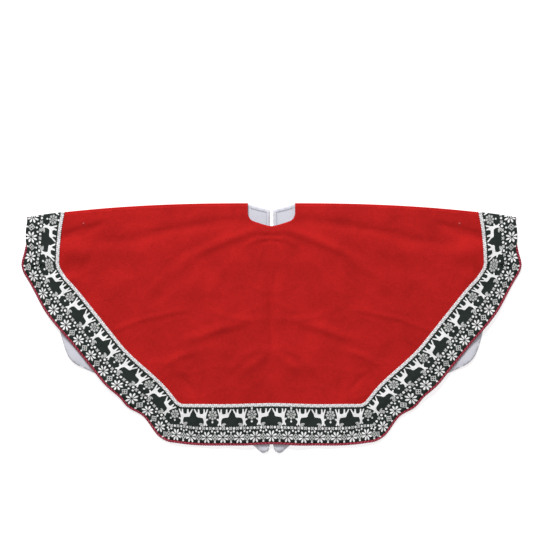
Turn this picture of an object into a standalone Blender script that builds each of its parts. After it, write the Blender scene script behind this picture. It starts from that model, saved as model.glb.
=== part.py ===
"""Seven-sided tree skirt, folded in half and laid flat, right side out.

The front half is the upper layer. The back half is cut by the slit into two flaps, which lie
under it and swing out round the folds until the whole skirt is open in one plane.
+X runs along the fold, +Y from the hem to the fold, +Z up from the floor. Units are metres.
"""
import math

import bpy
from mathutils import Vector

# The cut of the skirt
SIDES = 7
WIDTH = 1.219            # between the two hem corners furthest apart
FOLD_BACK = 0.0206       # the fold passes this far behind the centre of the heptagon
FOLD_ANGLE = math.radians(3.6)   # each half of the fold drops from the neck to its end
END_LEAN = 0.0133        # the folded end sides lean in by this much
CORNER_SLUMP = 0.018     # the back corners lie this much lower than the folded cut
HEM_CORNER_R = 0.050

# The neck and the slit
NECK_HALF = 0.057
NECK_STRAIGHT = 0.027    # the sides of the neck run straight this far from the fold
NECK_ROUND = 0.029       # then a half ellipse this deep
BACK_NECK_DROP = 0.016   # the neck edge of a flap, from the fold down to the slit
SLIT_GAP_NECK = 0.008
SLIT_GAP_HEM = 0.018
SLIT_TIP_R = 0.016
NECK_TUCK = 0.0015       # a flap's neck edge starts this far outside the neck's side

# The hem: cord, band and braid, from the rim inwards
CORD_WIDTH = 0.0055
CORD_THICK = 0.0022
BAND_WIDTH = 0.082
BRAID_WIDTH = 0.0100
LINING_EDGE = 0.0008     # the lining stops this far inside the rim

# Layers, from the floor up. The front half mirrors a flap in height.
GAP = 0.0003
BAND_THICK = 0.0009
BRAID_THICK = 0.0007
SHELL_THICK = 0.0012
LINING_THICK = 0.0006
LOFT = 0.0050            # air between the two linings
SHELL_Z = BAND_THICK + GAP
LINING_Z = SHELL_Z + SHELL_THICK + GAP
STACK = LINING_Z + LINING_THICK
HEIGHT = 2 * STACK + LOFT

# The fold: the solids stop short of the axis that the flaps turn about
AXIS_BEYOND = 0.0095

# The two thread tacks
TACK_R = 0.0016
TACK_THICK = 0.0009
TACK_FROM_END = 0.141    # along the fold from its end
TACK_FROM_FOLD = 0.020

ARC_STEPS = 5            # points on half a rounded corner
NECK_STEPS = 14

COLOURS = {
    "red_cloth": ((0.435, 0.014, 0.014), 0.85),
    "lining": ((0.59, 0.56, 0.62), 0.60),
    "band_cloth": ((0.20, 0.21, 0.205), 0.90),
    "braid": ((0.75, 0.75, 0.76), 0.70),
    "crimson_cord": ((0.37, 0.035, 0.055), 0.75),
}


def clear_scene():
    for item in list(bpy.data.objects):
        bpy.data.objects.remove(item)


def make_materials():
    made = {}
    for name, (colour, roughness) in COLOURS.items():
        material = bpy.data.materials.new(name)
        material.use_nodes = True
        shader = material.node_tree.nodes["Principled BSDF"]
        shader.inputs["Base Color"].default_value = (*colour, 1.0)
        shader.inputs["Roughness"].default_value = roughness
        shader.inputs["Metallic"].default_value = 0.0
        made[name] = material
    return made


def heptagon_corner(step):
    """A corner of the open skirt; step 0.5 is to the right of the middle of the front side."""
    radius = WIDTH / (2 * math.sin(math.pi * (SIDES - 1) / (2 * SIDES)))
    angle = -math.pi / 2 + step * 2 * math.pi / SIDES
    return Vector((radius * math.cos(angle), radius * math.sin(angle)))


def fold_point(x):
    """The point of the right fold at this x."""
    return Vector((x, FOLD_BACK - math.tan(FOLD_ANGLE) * (x - NECK_HALF)))


def mirrored(points):
    """The same outline on the other side, still anticlockwise."""
    return [Vector((-point.x, point.y)) for point in reversed(points)]


def right_hem():
    """Corners of the right half of the front: front side, side corner, end of the fold."""
    low = heptagon_corner(0.5)
    side = heptagon_corner(1.5)
    return [low, side, fold_point(side.x - END_LEAN)]


def right_flap_hem():
    """Corners of the right flap: end of the fold, back corner, slit tip."""
    end = right_hem()[-1]
    corner = heptagon_corner(2.5)
    tip = heptagon_corner(3.5)
    folded = 2 * FOLD_BACK
    return [end, Vector((corner.x, folded - corner.y - CORNER_SLUMP)), Vector((SLIT_GAP_HEM / 2, folded - tip.y))]


def crossing(point_a, along_a, point_b, along_b):
    """Where two lines meet."""
    across = along_a.x * along_b.y - along_a.y * along_b.x
    offset = point_b - point_a
    return point_a + along_a * ((offset.x * along_b.y - offset.y * along_b.x) / across)


class Outline:
    """A closed anticlockwise outline of straight edges, each of which can be inset by itself."""

    def __init__(self, corners, hem_edges, slit_tips=()):
        self.corners = corners
        self.hem_edges = hem_edges
        self.slit_tips = slit_tips

    def direction(self, edge):
        following = self.corners[(edge + 1) % len(self.corners)]
        return (following - self.corners[edge]).normalized()

    def corner(self, index, inset):
        """Corner where the edge before index meets the edge at index, the hem edges moved in by inset."""
        lines = []
        for edge in ((index - 1) % len(self.corners), index):
            along = self.direction(edge)
            inward = Vector((-along.y, along.x))
            moved = inset if edge in self.hem_edges else 0.0
            lines.append((self.corners[edge] + inward * moved, along))
        return crossing(*lines[0], *lines[1])

    def arc(self, index, inset, radius):
        """A rounded corner, from its tangent point on the edge before to the one on the edge after."""
        before = self.direction((index - 1) % len(self.corners))
        after = self.direction(index)
        turn = math.acos(max(-1.0, min(1.0, before.dot(after))))
        left = Vector((-before.y, before.x))
        start = self.corner(index, inset) - before * (radius * math.tan(turn / 2))
        centre = start + left * radius
        steps = 2 * ARC_STEPS
        points = []
        for step in range(steps + 1):
            angle = turn * step / steps
            points.append(centre - left * (radius * math.cos(angle)) + before * (radius * math.sin(angle)))
        return points


def front_outline():
    """The front half; edges 0 to 4 are the hem, edge 5 the right fold, 6 the neck, 7 the left fold."""
    right = right_hem()
    neck = fold_point(NECK_HALF)
    corners = mirrored(right) + right + [neck, Vector((-neck.x, neck.y))]
    return Outline(corners, (0, 1, 2, 3, 4))


def flap_outline():
    """The right flap; edge 0 is the fold, 1 the neck, 2 the slit, 3 and 4 the hem."""
    end, corner, tip = right_flap_hem()
    neck = fold_point(NECK_HALF + NECK_TUCK)
    slit_top = Vector((SLIT_GAP_NECK / 2, FOLD_BACK - BACK_NECK_DROP))
    return Outline([end, neck, slit_top, tip, corner], (3, 4), slit_tips=(3,))


def front_neck_curve():
    """The neck edge of the front, from the right fold to the left: straight sides and a half ellipse."""
    low = FOLD_BACK - NECK_STRAIGHT
    curve = []
    for step in range(NECK_STEPS + 1):
        angle = math.pi * step / NECK_STEPS
        curve.append(Vector((NECK_HALF * math.cos(angle), low - NECK_ROUND * math.sin(angle))))
    return curve


def flap_neck_curve(start, end):
    """The neck edge of the right flap, steep at the fold and level at the slit."""
    curve = []
    for step in range(1, NECK_STEPS // 2):
        angle = math.pi / 2 * step / (NECK_STEPS // 2)
        x = start.x + (end.x - start.x) * (1 - math.cos(angle))
        y = start.y + (end.y - start.y) * math.sin(angle)
        curve.append(Vector((x, y)))
    return curve


def front_sheet(inset):
    """The whole front half, its hem moved in by inset."""
    outline = front_outline()
    radius = HEM_CORNER_R - inset
    points = [outline.corner(0, inset)]
    for index in (1, 2, 3, 4):
        points += outline.arc(index, inset, radius)
    points.append(outline.corner(5, inset))
    points.append(outline.corner(6, inset))
    points += front_neck_curve()
    points.append(outline.corner(7, inset))
    return points


def flap_sheet(inset):
    """The whole right flap, its hem moved in by inset."""
    outline = flap_outline()
    points = [outline.corner(0, inset), outline.corner(1, inset)]
    points += flap_neck_curve(outline.corner(1, inset), outline.corner(2, inset))
    points.append(outline.corner(2, inset))
    points += outline.arc(3, inset, SLIT_TIP_R)
    points += outline.arc(4, inset, HEM_CORNER_R - inset)
    return points


def strip_corner(outline, index, inset):
    """The outer hem line of a strip at a corner, with the number of its points that belong to each side.

    Between two hem edges it is an arc that the mitre halves, at the slit a whole arc, at the fold a point.
    """
    before = (index - 1) % len(outline.corners)
    if before in outline.hem_edges and index in outline.hem_edges:
        points = outline.arc(index, inset, HEM_CORNER_R - inset)
        return points[ARC_STEPS:], points[:ARC_STEPS + 1]
    if index in outline.slit_tips:
        points = outline.arc(index, inset, SLIT_TIP_R)
        return points, points
    points = [outline.corner(index, inset)]
    return points, points


def band_strip(outline, edge, outer, inner):
    """One mitred strip of the band, between two insets of a hem edge."""
    following = (edge + 1) % len(outline.corners)
    along = outline.direction(edge)
    after_start, _ = strip_corner(outline, edge, outer)
    _, before_end = strip_corner(outline, following, outer)
    start_back = along * mitre_clearance(outline, edge)
    end_back = along * mitre_clearance(outline, following)
    points = [point + start_back for point in after_start]
    points += [point - end_back for point in before_end]
    points.append(outline.corner(following, inner) - end_back)
    points.append(outline.corner(edge, inner) + start_back)
    return points


def mitre_clearance(outline, index):
    """How far a strip stays from the mitre at this corner, measured along its edge."""
    before = (index - 1) % len(outline.corners)
    if before in outline.hem_edges and index in outline.hem_edges:
        return GAP * 0.7
    return 0.0


def braid_strip(outline, outer, inner):
    """The braid of one layer, a mitred ribbon along all of its hem edges."""
    first = outline.hem_edges[0]
    last = outline.hem_edges[-1] + 1
    indices = [index % len(outline.corners) for index in range(first, last + 1)]
    points = [outline.corner(index, outer) for index in indices]
    points += [outline.corner(index, inner) for index in reversed(indices)]
    return points


def cord_route(outline):
    """The centre line of the cord round the hem of one layer; it stops where a slit tip is rounded off."""
    inset = CORD_WIDTH / 2
    points = []
    for index in range(outline.hem_edges[0], outline.hem_edges[-1] + 2):
        corner = index % len(outline.corners)
        inner_corner = outline.hem_edges[0] < index <= outline.hem_edges[-1]
        if inner_corner:
            points += outline.arc(corner, inset, HEM_CORNER_R - inset)
        elif corner in outline.slit_tips:
            points.append(outline.arc(corner, inset, SLIT_TIP_R)[-1])
        else:
            points.append(outline.corner(corner, inset))
    return points


def link(name, data, material, z):
    piece = bpy.data.objects.new(name, data)
    data.materials.append(material)
    piece.location = (0, 0, z)
    bpy.data.collections["tree_skirt"].objects.link(piece)
    return piece


def add_spline(curve, points, closed):
    spline = curve.splines.new("POLY")
    spline.points.add(len(points) - 1)
    for spot, point in zip(spline.points, points):
        spot.co = (point.x, point.y, 0.0, 1.0)
    spline.use_cyclic_u = closed


def flat_piece(name, points, low, thick, material):
    """A flat sheet with this outline, from height low up."""
    curve = bpy.data.curves.new(name, "CURVE")
    curve.dimensions = "2D"
    curve.fill_mode = "BOTH"
    curve.extrude = thick / 2
    add_spline(curve, points, True)
    return link(name, curve, material, low + thick / 2)


def cord_piece(name, points, low, material):
    """A flattened cord along the points."""
    curve = bpy.data.curves.new(name, "CURVE")
    curve.dimensions = "3D"
    curve.bevel_depth = CORD_WIDTH / 2
    curve.bevel_resolution = 2
    curve.use_fill_caps = True
    add_spline(curve, points, False)
    piece = link(name, curve, material, low + CORD_THICK / 2)
    piece.scale.z = CORD_THICK / CORD_WIDTH
    return piece


def upper(low, thick):
    """The height at which a layer of a flap lies when it belongs to the front half."""
    return HEIGHT - low - thick


def make_cloth(materials):
    """The red shell and the lining of the three layers."""
    edge = CORD_WIDTH + GAP
    right_shell = flap_sheet(edge)
    right_lining = flap_sheet(LINING_EDGE)
    red = materials["red_cloth"]
    pale = materials["lining"]
    flat_piece("front_shell", front_sheet(edge), upper(SHELL_Z, SHELL_THICK), SHELL_THICK, red)
    flat_piece("right_flap_shell", right_shell, SHELL_Z, SHELL_THICK, red)
    flat_piece("left_flap_shell", mirrored(right_shell), SHELL_Z, SHELL_THICK, red)
    flat_piece("front_lining", front_sheet(LINING_EDGE), upper(LINING_Z, LINING_THICK), LINING_THICK, pale)
    flat_piece("right_flap_lining", right_lining, LINING_Z, LINING_THICK, pale)
    flat_piece("left_flap_lining", mirrored(right_lining), LINING_Z, LINING_THICK, pale)


def make_band(material):
    """Seven strips of knitted band; the two that the fold crosses are in two nodes each."""
    outer = CORD_WIDTH + GAP
    inner = outer + BAND_WIDTH
    front = front_outline()
    names = ("left_end", "left_side", "front_side", "right_side", "right_end")
    for edge, name in zip(front.hem_edges, names):
        strip = band_strip(front, edge, outer, inner)
        flat_piece("band_" + name, strip, upper(0, BAND_THICK), BAND_THICK, material)
    flap = flap_outline()
    for edge, name in zip(flap.hem_edges, ("back", "end_under")):
        strip = band_strip(flap, edge, outer, inner)
        flat_piece("band_right_" + name, strip, 0.0, BAND_THICK, material)
        flat_piece("band_left_" + name, mirrored(strip), 0.0, BAND_THICK, material)


def make_braid(material):
    """The braid that covers the inner edge of the band."""
    outer = CORD_WIDTH + GAP + BAND_WIDTH + GAP
    inner = outer + BRAID_WIDTH
    low = BAND_THICK - BRAID_THICK
    front = braid_strip(front_outline(), outer, inner)
    right = braid_strip(flap_outline(), outer, inner)
    flat_piece("front_braid", front, upper(low, BRAID_THICK), BRAID_THICK, material)
    flat_piece("right_flap_braid", right, low, BRAID_THICK, material)
    flat_piece("left_flap_braid", mirrored(right), low, BRAID_THICK, material)


def make_cord(material):
    """The twisted cord on the face of the rim."""
    front = cord_route(front_outline())
    right = cord_route(flap_outline())
    low = GAP / 2
    cord_piece("front_cord", front, upper(low, CORD_THICK), material)
    cord_piece("right_flap_cord", right, low, material)
    cord_piece("left_flap_cord", mirrored(right), low, material)


def make_tacks(material):
    """A thread tack on the face near each end of the fold."""
    end = right_hem()[-1]
    back = Vector((-math.cos(FOLD_ANGLE), math.sin(FOLD_ANGLE)))
    spot = end + back * TACK_FROM_END - Vector((0, TACK_FROM_FOLD))
    low = upper(0, TACK_THICK)
    for name, side in (("right_tack", 1), ("left_tack", -1)):
        bpy.ops.mesh.primitive_cylinder_add(vertices=16, radius=TACK_R, depth=TACK_THICK)
        tack = bpy.context.object
        tack.name = name
        tack.location = (side * spot.x, spot.y, low + TACK_THICK / 2)
        tack.data.materials.append(material)
        tack.data.shade_smooth()
        for holder in list(tack.users_collection):
            holder.objects.unlink(tack)
        bpy.data.collections["tree_skirt"].objects.link(tack)


def centre_in_depth(collection):
    """Moves every piece along Y until the whole object's box is centred on y = 0."""
    bpy.context.view_layer.update()
    depsgraph = bpy.context.evaluated_depsgraph_get()
    depths = []
    for piece in collection.objects:
        solid = piece.evaluated_get(depsgraph)
        depths += [(solid.matrix_world @ Vector(corner)).y for corner in solid.bound_box]
    middle = (min(depths) + max(depths)) / 2
    for piece in collection.objects:
        piece.location.y -= middle
    return middle


def add_fold_axes(collection, middle):
    """An empty on each fold's axis; the flap turns about it, from 0 folded to 180 degrees open."""
    across = Vector((math.sin(FOLD_ANGLE), math.cos(FOLD_ANGLE)))
    spot = fold_point(NECK_HALF) + across * AXIS_BEYOND
    for side_name, side in (("right", 1), ("left", -1)):
        axis = bpy.data.objects.new(side_name + "_fold", None)
        axis.location = (side * spot.x, spot.y - middle, HEIGHT / 2)
        axis.rotation_euler = (0, 0, -side * FOLD_ANGLE)
        collection.objects.link(axis)
        bpy.context.view_layer.update()
        under = (side_name + "_flap", f"band_{side_name}_back", f"band_{side_name}_end_under")
        for piece in collection.objects:
            if piece.name.startswith(under):
                piece.parent = axis
                piece.matrix_parent_inverse = axis.matrix_world.inverted()


def main():
    clear_scene()
    collection = bpy.data.collections.new("tree_skirt")
    bpy.context.scene.collection.children.link(collection)
    materials = make_materials()
    make_cloth(materials)
    make_band(materials["band_cloth"])
    make_braid(materials["braid"])
    make_cord(materials["crimson_cord"])
    make_tacks(materials["red_cloth"])
    middle = centre_in_depth(collection)
    add_fold_axes(collection, middle)


main()
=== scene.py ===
"""Looks of the seven-sided tree skirt, folded in half and laid flat.

Every piece is first laid out flat, in metres from the heptagon's centre (x along the fold, y towards it),
and then put in place: on the front half, on a flap, or round the fold between them.
"""
import math

import bpy
import numpy as np
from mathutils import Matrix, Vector
from mathutils.geometry import delaunay_2d_cdt


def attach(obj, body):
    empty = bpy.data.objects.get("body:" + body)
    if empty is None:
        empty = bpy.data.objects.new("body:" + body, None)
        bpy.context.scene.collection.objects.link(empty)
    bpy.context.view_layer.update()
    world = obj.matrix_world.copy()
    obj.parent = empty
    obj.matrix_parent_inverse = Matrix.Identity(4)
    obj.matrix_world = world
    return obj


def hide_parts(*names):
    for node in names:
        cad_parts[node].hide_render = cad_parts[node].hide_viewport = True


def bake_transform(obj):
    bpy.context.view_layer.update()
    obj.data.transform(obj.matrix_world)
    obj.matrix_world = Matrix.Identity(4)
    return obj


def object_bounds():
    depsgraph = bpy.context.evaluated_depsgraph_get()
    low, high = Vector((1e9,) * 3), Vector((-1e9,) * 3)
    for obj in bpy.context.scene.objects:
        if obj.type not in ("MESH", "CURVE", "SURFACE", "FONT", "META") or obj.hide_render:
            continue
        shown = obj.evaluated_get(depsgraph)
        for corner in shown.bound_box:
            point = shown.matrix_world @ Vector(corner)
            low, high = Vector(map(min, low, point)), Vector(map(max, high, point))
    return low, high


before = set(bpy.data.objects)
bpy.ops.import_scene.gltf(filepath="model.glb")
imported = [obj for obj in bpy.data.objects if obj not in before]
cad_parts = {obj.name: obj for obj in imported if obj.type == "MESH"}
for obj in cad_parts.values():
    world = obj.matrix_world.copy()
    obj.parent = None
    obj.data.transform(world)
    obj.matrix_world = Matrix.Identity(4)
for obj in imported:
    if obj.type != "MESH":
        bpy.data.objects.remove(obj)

cad_low, cad_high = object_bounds()

# The cut, as in the CAD model
SIDES = 7
WIDTH = 1.219
FOLD_BACK = 0.0206
FOLD_ANGLE = math.radians(3.6)
END_LEAN = 0.0133
CORNER_SLUMP = 0.018
HEM_CORNER_R = 0.05
HEM_LEAST_R = 0.004
NECK_HALF = 0.057
NECK_STRAIGHT = 0.027
NECK_ROUND = 0.029
BACK_NECK_DROP = 0.016
SLIT_GAP_NECK = 0.008
SLIT_GAP_HEM = 0.018
SLIT_TIP_R = 0.016
CORD_WIDTH = 0.0055
BAND_WIDTH = 0.082
BRAID_WIDTH = 0.01
BAND_OUT = CORD_WIDTH + 0.0003
BAND_IN = BAND_OUT + BAND_WIDTH
CENTRE_Y = cad_high.y - FOLD_BACK  # the heptagon's centre in the row frame

# Heights
FLAP_Z = 0.0026  # middle of a flap's red cloth
MID_Z = cad_high.z / 2  # the fold's axis
ROLL_R = MID_Z - FLAP_Z  # the red cloth turns round this radius
FRONT_Z = MID_Z + ROLL_R
SHELL_THICK = 0.0009
LINING_THICK = 0.0005
BAND_THICK = 0.0007
SHELL_D = 0.0  # offsets from the red cloth, towards its face
BAND_D = 0.001
MOTIF_LOW = 0.0011
MOTIF_HIGH = 0.00175
BRAID_D = 0.0023
CORD_D = 0.00055
LINING_D = -0.0011
CLOTH_STEP = 0.0045  # mesh size of the cloth
SEAM_STEP = 0.004
UP = np.array((0.0, 0.0, 1.0))


# ---- flat outlines

def unit(vector):
    return vector / np.linalg.norm(vector)


def left_of(along):
    return np.array([-along[1], along[0]])


def distances(points):
    """How far each point of a line lies from its start, along it."""
    return np.concatenate([[0], np.cumsum(np.linalg.norm(np.diff(points, axis=0), axis=1))])


def smooth(value):
    share = np.clip(value, 0.0, 1.0)
    return share * share * (3 - 2 * share)


def heptagon_corner(step):
    radius = WIDTH / (2 * math.sin(math.pi * (SIDES - 1) / (2 * SIDES)))
    angle = -math.pi / 2 + step * 2 * math.pi / SIDES
    return np.array([radius * math.cos(angle), radius * math.sin(angle)])


FOLD_END = heptagon_corner(1.5)[0] - END_LEAN
FOLD_DROOP = math.tan(FOLD_ANGLE) * (FOLD_END - NECK_HALF)
FOLD_CURVE = 2.3  # how late along the fold its droop comes


def fold_y(x):
    """The outermost line of the fold."""
    share = np.clip((np.abs(x) - NECK_HALF) / (FOLD_END - NECK_HALF), 0, 1.2)
    return FOLD_BACK - FOLD_DROOP * share ** FOLD_CURVE


def turn_y(x):
    """Where the flat cloth ends and its turn round the fold begins."""
    return fold_y(x) - ROLL_R - SHELL_THICK / 2


def crossing(point_a, along_a, point_b, along_b):
    across = along_a[0] * along_b[1] - along_a[1] * along_b[0]
    offset = point_b - point_a
    return point_a + along_a * ((offset[0] * along_b[1] - offset[1] * along_b[0]) / across)


class Outline:
    """A closed anticlockwise outline of straight edges; its hem edges can be inset."""

    def __init__(self, corners, hem_edges, slit_tips=()):
        self.corners = [np.array(corner, float) for corner in corners]
        self.hem_edges = hem_edges
        self.slit_tips = slit_tips

    def along(self, edge):
        following = self.corners[(edge + 1) % len(self.corners)]
        return unit(following - self.corners[edge])

    def inward(self, edge):
        return left_of(self.along(edge))

    def corner(self, index, inset):
        lines = []
        for edge in ((index - 1) % len(self.corners), index):
            moved = inset if edge in self.hem_edges else 0.0
            lines.append((self.corners[edge] + self.inward(edge) * moved, self.along(edge)))
        return crossing(*lines[0], *lines[1])

    def arc(self, index, inset, radius, steps=12):
        before = self.along((index - 1) % len(self.corners))
        after = self.along(index)
        turn = math.acos(float(np.clip(before @ after, -1, 1)))
        left = left_of(before)
        start = self.corner(index, inset) - before * (radius * math.tan(turn / 2))
        centre = start + left * radius
        angles = [turn * step / steps for step in range(steps + 1)]
        return [centre - left * (radius * math.cos(a)) + before * (radius * math.sin(a)) for a in angles]

    def fold_corner(self, edge, inset):
        """Where a hem edge, moved in by inset, reaches the line at which the cloth turns under."""
        along = self.along(edge)
        point = self.corners[edge] + self.inward(edge) * inset
        for _ in range(30):
            point = point + along * ((turn_y(point[0]) - point[1]) / along[1])
        return point

    def hem_line(self, inset):
        """The hem moved in by inset, from its first edge to its last."""
        first, last = self.hem_edges[0], self.hem_edges[-1]
        points = []
        for index in range(first, last + 2):
            corner = index % len(self.corners)
            if first < index <= last:
                points += self.arc(corner, inset, max(HEM_CORNER_R - inset, HEM_LEAST_R))
            elif corner in self.slit_tips:
                points += self.arc(corner, inset, SLIT_TIP_R)
            else:
                points.append(self.fold_corner(first if index == first else last, inset))
        return points


def end_x(outline, inset):
    """Where along the fold a line parallel to the hem ends."""
    return outline.fold_corner(4, inset)[0]


def make_front_outline():
    low, side = heptagon_corner(0.5), heptagon_corner(1.5)
    neck = np.array([NECK_HALF, FOLD_BACK])
    end = np.array([FOLD_END, FOLD_BACK - FOLD_DROOP])
    right = [low, side, end]
    left = [point * (-1, 1) for point in reversed(right)]
    return Outline(left + right + [neck, neck * (-1, 1)], (0, 1, 2, 3, 4))


def make_flap_outline():
    corner, tip = heptagon_corner(2.5), heptagon_corner(3.5)
    folded = 2 * FOLD_BACK
    return Outline(
        [
            (FOLD_END, FOLD_BACK - FOLD_DROOP),
            (NECK_HALF, FOLD_BACK),
            (SLIT_GAP_NECK / 2, FOLD_BACK - BACK_NECK_DROP),
            (SLIT_GAP_HEM / 2, folded - tip[1]),
            (corner[0], folded - corner[1] - CORNER_SLUMP),
        ],
        (3, 4),
        slit_tips=(3,),
    )


FRONT = make_front_outline()
FLAP = make_flap_outline()
END_SLOPE = FLAP.along(4)[0] / FLAP.along(4)[1]


def seam_xs(from_x, to_x):
    """Places along the fold where the front, the turn and the flap share their points."""
    count = max(2, int(abs(to_x - from_x) / SEAM_STEP))
    return np.linspace(from_x, to_x, count + 1)


NECK_V = 0.55  # how much of the neck's depth comes as a straight slope
NECK_SHOULDER = 16  # how tightly it turns at the shoulders
NECK_SOFT = 0.3  # how much the bottom of the V is rounded
FLAP_NECK_SAG = 0.75


def front_neck_curve(steps=60):
    """The front's neck edge, a shallow V with round shoulders, from right to left."""
    low = FOLD_BACK - NECK_STRAIGHT
    points = []
    for angle in np.linspace(0, math.pi, steps + 1):
        across = math.cos(angle)
        share = math.hypot(across, NECK_SOFT) - NECK_SOFT * (1 - abs(across))
        depth = 1 - NECK_V * share - (1 - NECK_V) * abs(across) ** NECK_SHOULDER
        points.append(np.array([NECK_HALF * across, low - NECK_ROUND * max(depth, 0.0)]))
    return points


def flap_neck_curve(steps=20):
    at_fold = np.array([NECK_HALF, turn_y(NECK_HALF)])
    start, end = np.array([NECK_HALF - 0.0015, FOLD_BACK - 0.0015]), FLAP.corners[2]
    shares = np.linspace(0, 1, steps + 1)
    return [at_fold] + [start + (end - start) * (share, share ** FLAP_NECK_SAG) for share in shares]


def front_loop(inset):
    """Outline of the front's flat cloth."""
    hem = FRONT.hem_line(inset)
    fold = [np.array([x, turn_y(x)]) for x in seam_xs(hem[-1][0], NECK_HALF)]
    left = [point * (-1, 1) for point in reversed(fold)]
    return hem[:-1] + fold + front_neck_curve() + left[:-1]


def flap_loop(inset):
    """Outline of the right flap's flat cloth."""
    hem = FLAP.hem_line(inset)
    front_end = end_x(FRONT, inset)
    fold = [np.array([x, turn_y(x)]) for x in seam_xs(front_end, NECK_HALF)]
    return hem[:-1] + fold + flap_neck_curve()[1:]


# ---- putting flat points in place

def ridge(x, y, line, width, height):
    """A soft wrinkle along a line of points, tapering off at both ends; a valley where height is negative."""
    reached = distances(line)
    reached = reached / reached[-1]
    nearest = np.full(x.shape, np.inf)
    share = np.zeros(x.shape)
    for k in range(len(line) - 1):
        along = line[k + 1] - line[k]
        part = np.clip(((x - line[k][0]) * along[0] + (y - line[k][1]) * along[1]) / (along @ along), 0, 1)
        away = np.hypot(x - line[k][0] - part * along[0], y - line[k][1] - part * along[1])
        closer = away < nearest
        nearest = np.where(closer, away, nearest)
        share = np.where(closer, reached[k] + part * (reached[k + 1] - reached[k]), share)
    taper = 0.25 + 0.75 * np.sin(math.pi * np.clip(share, 0, 1)) ** 0.7
    return height * taper * np.exp(-(nearest / width) ** 2)


MM = 0.001
FRONT_WRINKLES = (
    # in millimetres: points on the right half, half width, height; the left half mirrors them
    (((520, -66), (464, -42), (405, -26)), 9, -4.6),  # by the tack
    (((505, -78), (465, -82), (425, -94)), 20, 6.8),
    (((510, -130), (480, -124)), 16, -3),
    (((500, -135), (460, -150), (440, -190)), 18, 3),
    (((420, -70), (336, -68), (246, -45), (149, -30), (62, -20)), 12, -3.6),
    (((0, -47), (50, -48), (100, -66), (156, -90), (220, -122)), 11, 4.2),  # frown under the neck
    (((0, -58), (22, -60)), 4, -2.2),
    (((0, -71), (20, -74)), 4, -1.8),
    (((10, -64), (34, -67), (62, -82)), 6, 2),
    (((16, -80), (30, -110), (36, -150)), 6, 1.6),
    (((180, -115), (250, -150), (300, -200), (310, -260)), 14, 1.8),
    (((150, -60), (250, -90), (330, -110)), 20, 2),
    (((12, -140), (3, -190), (0, -240), (1, -345)), 6, -3.6),
    (((30, -150), (22, -220), (24, -300)), 11, 2.6),
    (((10, -262), (60, -262), (110, -256), (160, -232)), 8, 1.5),
    (((60, -268), (125, -284), (165, -300), (205, -308)), 11, 4),
    (((0, -330), (30, -362), (72, -388)), 13, 3.6),
    (((20, -330), (70, -350), (110, -395)), 10, 2.2),
    (((166, -405), (168, -460)), 7, -2.8),
    (((222, -400), (192, -436)), 7, -2.6),
    (((258, -372), (225, -350), (185, -338)), 8, 2.6),
    (((372, -278), (302, -252), (190, -234)), 6, 1.8),
    (((330, -150), (380, -190), (400, -240)), 20, 2.2),
    (((90, -120), (130, -160), (150, -210)), 18, 2),
    (((230, -190), (270, -240), (275, -310)), 20, 1.8),
    (((454.5, -40.5), (456.5, -38.5)), 6, -1.6),  # the tack's dimple
)
PUCKER = 0.0011  # waves of the band between its seams
PUCKER_LENGTH = 0.06


def slow_waves(x, y, seed, length):
    """A gentle unevenness made of a few sine waves, alike on both sides."""
    rng = np.random.default_rng(seed)
    across = np.abs(x)
    total = np.zeros_like(across)
    for _ in range(7):
        angle = rng.uniform(0, math.pi)
        size = length * rng.uniform(0.6, 1.6)
        phase = rng.uniform(0, 2 * math.pi)
        total += np.sin(2 * math.pi * (across * math.cos(angle) + y * math.sin(angle)) / size + phase)
    return total / 7


def creases(x, y, seed, length):
    """Small folds with sharp tops, where slow waves cross zero."""
    return (1 - np.minimum(1, np.abs(slow_waves(x, y, seed, length)) * 4.5)) ** 2


def beyond(x, y, outline, edges):
    """How far a point lies outside some edges of an outline; negative inside."""
    across = np.abs(x)
    away = np.full(np.shape(x), -1.0)
    for edge in edges:
        outward = -outline.inward(edge)
        start = outline.corners[edge]
        away = np.maximum(away, (across - start[0]) * outward[0] + (y - start[1]) * outward[1])
    return away


BASE = 0.0003  # height of the front over its height at the fold
ON_FLOOR = -0.005
LEAST = -0.0024  # it never sinks below this over a flap
TUCK = 0.006  # width of the rim that is turned under near the ends of the fold
TUCK_SHIFT = 0.0046
TUCK_DROP = 0.0032


def off_fold(x, y, reach):
    """0 at the line where the cloth turns, 1 beyond reach from it."""
    return smooth((turn_y(x) - y) / reach)


def tucked(y):
    """How far the rim is turned under, from 0 to 1."""
    return smooth((-0.004 - y) / 0.012) * (1 - smooth((-0.07 - y) / 0.022))


def front_relief(x, y):
    """Height of the front's red cloth over its height at the fold."""
    across = np.abs(x)
    off_flap = smooth(beyond(x, y, FLAP, (3, 4)) / 0.045 + 0.15)
    waves = 0.0013 * slow_waves(x, y, 5, 0.16) + 0.0009 * slow_waves(x, y, 6, 0.07)
    waves += 0.0008 * creases(x, y, 7, 0.2) + 0.0006 * creases(x, y, 8, 0.11)
    for line, width, height in FRONT_WRINKLES:
        waves += ridge(across, y, np.array(line) * MM, width * MM, height * MM)
    inset = -beyond(x, y, FRONT, (2, 3, 4))
    near_rim = 1 - smooth((inset - 0.02) / 0.08)
    run = across * 0.8 - y
    waves += PUCKER * near_rim * np.sin(2 * math.pi * run / PUCKER_LENGTH + 2.2 * slow_waves(x, y, 11, 0.3))
    least = LEAST + (ON_FLOOR - LEAST) * off_flap
    height = BASE + (ON_FLOOR + 0.0012 - BASE) * off_flap + waves
    above = height - least
    height = least + (above + np.sqrt(above ** 2 + 0.0008 ** 2)) / 2
    roll = 0.0012 * (1 - smooth(inset / 0.006)) * off_fold(x, y, 0.03)
    from_end = -beyond(x, y, FRONT, (4,))
    drop = TUCK_DROP * tucked(y) * (1 - smooth((from_end - 0.25 * TUCK) / TUCK))
    return off_fold(x, y, 0.034) * height - roll - drop * off_fold(x, y, 0.012)


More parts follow.
